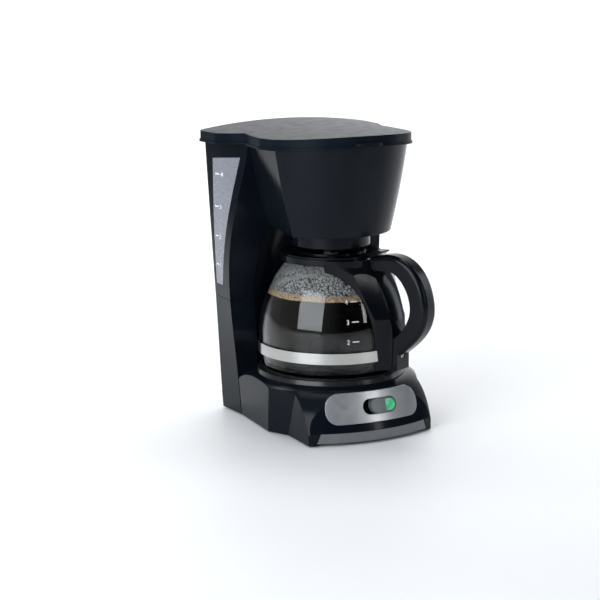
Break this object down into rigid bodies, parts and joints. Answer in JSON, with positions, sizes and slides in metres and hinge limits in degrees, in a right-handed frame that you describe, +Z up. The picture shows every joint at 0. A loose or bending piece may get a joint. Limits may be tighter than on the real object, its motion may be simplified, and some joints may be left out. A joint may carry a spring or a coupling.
{
  "type": "drip coffee maker",
  "caption": "Small black drip coffee maker with a glass carafe, a hinged lid over the water tank and brew basket, a domed warming base and a sliding power switch.",
  "frame": {"origin": "middle of the machine's footprint, on the surface it stands on", "axes": "+Z up, front towards -Y, the lid's hinge line along X"},
  "size_m": [0.163, 0.1807, 0.2505],
  "materials": {
    "black_plastic": "gloss",
    "carafe_plastic": "gloss",
    "black_rubber": "matte",
    "zinc_steel": "satin",
    "polished_steel": "gloss",
    "satin_trim": "satin",
    "clear_window": "translucent",
    "ring_plastic": "satin",
    "plate_coating": "satin",
    "silicone": "matte",
    "cast_aluminium": "satin",
    "steel_sheath": "satin",
    "white_plastic": "satin",
    "slider_plastic": "satin",
    "lens_plastic": "gloss",
    "clear_glass": "gloss",
    "wire_insulation": "satin"
  },
  "bodies": {
    "base": {"upper_housing": "black_plastic", "lower_housing": "black_plastic", "bottom_cover": "black_plastic", "rubber_feet": "black_rubber", "bottom_cover_screws": "zinc_steel", "housing_screws": "zinc_steel", "base_trim": "satin_trim", "control_panel": "satin_trim", "water_window": "clear_window", "plate_bezel_ring": "ring_plastic", "warming_plate": "plate_coating", "plate_gasket": "silicone", "heater_water_tube": "cast_aluminium", "heater_rod": "steel_sheath", "heater_bracket": "zinc_steel", "bracket_nut": "zinc_steel", "thermostat": "steel_sheath", "thermal_fuse": "steel_sheath", "inlet_hose": "silicone", "outlet_hose": "silicone", "hose_clamps": "zinc_steel", "check_valve_body": "white_plastic", "reservoir_strainer": "white_plastic", "riser_tube": "white_plastic", "riser_grommet": "black_plastic", "filter_basket": "black_plastic", "valve_spring": "zinc_steel", "switch_body": "black_plastic", "indicator_lamp": "lens_plastic", "cord_gland": "black_plastic", "lead_wires": "wire_insulation"},
    "lid_body": {"lid": "black_plastic", "lid_hinge_pins": "zinc_steel", "spray_plate": "black_plastic"},
    "carafe": {"carafe_glass": "clear_glass", "carafe_band": "polished_steel", "carafe_handle": "carafe_plastic", "band_screw": "zinc_steel", "carafe_lid": "carafe_plastic", "carafe_lid_pin": "zinc_steel"},
    "switch": {"switch_slider": "slider_plastic", "switch_lens": "lens_plastic"},
    "drip_valve": {"valve_plunger": "white_plastic", "valve_seal": "silicone"},
    "check_ball": {"check_valve_ball": "white_plastic"}
  },
  "joints": [
    {"name": "lid_hinge", "type": "hinge", "parent": "base", "child": "lid_body", "pos_m": [0, 0.0861, 0.2395], "axis": [-1, 0, 0], "range_deg": [0, 90]},
    {"name": "carafe_slide", "type": "slide", "parent": "base", "child": "carafe", "axis": [0, -1, 0], "range_m": [0, 0.2]},
    {"name": "switch_slide", "type": "slide", "parent": "base", "child": "switch", "axis": [-1, 0, 0], "range_m": [0, 0.007]},
    {"name": "valve_lift", "type": "slide", "parent": "base", "child": "drip_valve", "axis": [0, 0, 1], "range_m": [0, 0.004], "stiffness_N_per_m": 150, "springref_m": -0.002, "deforming": ["valve_spring"]},
    {"name": "check_ball_lift", "type": "slide", "parent": "base", "child": "check_ball", "axis": [0, 0, 1], "range_m": [0, 0.0019]}
  ]
}
